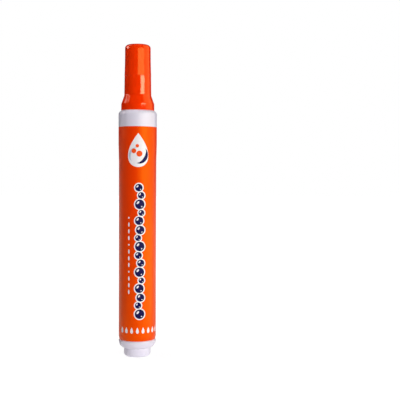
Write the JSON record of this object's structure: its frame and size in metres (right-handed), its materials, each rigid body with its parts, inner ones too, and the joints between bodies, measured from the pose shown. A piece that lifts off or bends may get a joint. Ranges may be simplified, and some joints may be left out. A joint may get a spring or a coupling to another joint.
{
  "type": "stain remover pen",
  "caption": "Pocket stain remover pen with a push-on cap, a felt nib that opens a spring valve when pressed, and a stepped tail.",
  "frame": {"origin": "centre of the tail's flat face, which the pen stands on", "axes": "+Z along the pen's axis from the tail to the cap; the label's main print faces -Y"},
  "size_m": [0.017, 0.017, 0.138],
  "materials": {
    "barrel": "moulded polypropylene, semi-gloss",
    "label_sleeve": "printed film, satin",
    "front_section": "moulded polypropylene, semi-gloss",
    "nib": "pressed polyester felt",
    "valve_seat": "natural polyethylene",
    "valve_cage": "moulded polypropylene",
    "valve_stem": "moulded acetal",
    "valve_spring": "drawn stainless spring wire",
    "inner_cap": "natural polyethylene",
    "cap": "moulded polypropylene, high gloss"
  },
  "bodies": {
    "pen": {"barrel": "barrel", "label_sleeve": "label_sleeve", "front_section": "front_section", "valve_seat": "valve_seat", "valve_cage": "valve_cage", "valve_spring": "valve_spring"},
    "cap_unit": {"cap": "cap", "inner_cap": "inner_cap"},
    "nib_unit": {"nib": "nib"},
    "stem_unit": {"valve_stem": "valve_stem"}
  },
  "joints": [
    {"name": "cap_pull", "type": "slide", "parent": "pen", "child": "cap_unit", "axis": [0, 0, 1], "range_m": [0, 0.04]},
    {"name": "nib_press", "type": "slide", "parent": "pen", "child": "nib_unit", "axis": [0, 0, -1], "range_m": [0, 0.0018], "stiffness_N_per_m": 600, "springref_m": -0.0025},
    {"name": "stem_press", "type": "slide", "parent": "pen", "child": "stem_unit", "axis": [0, 0, -1], "range_m": [0, 0.0018], "deforming": ["valve_spring"]}
  ],
  "couplings": [
    {"joint": "stem_press", "follows": "nib_press", "ratio": 1}
  ]
}
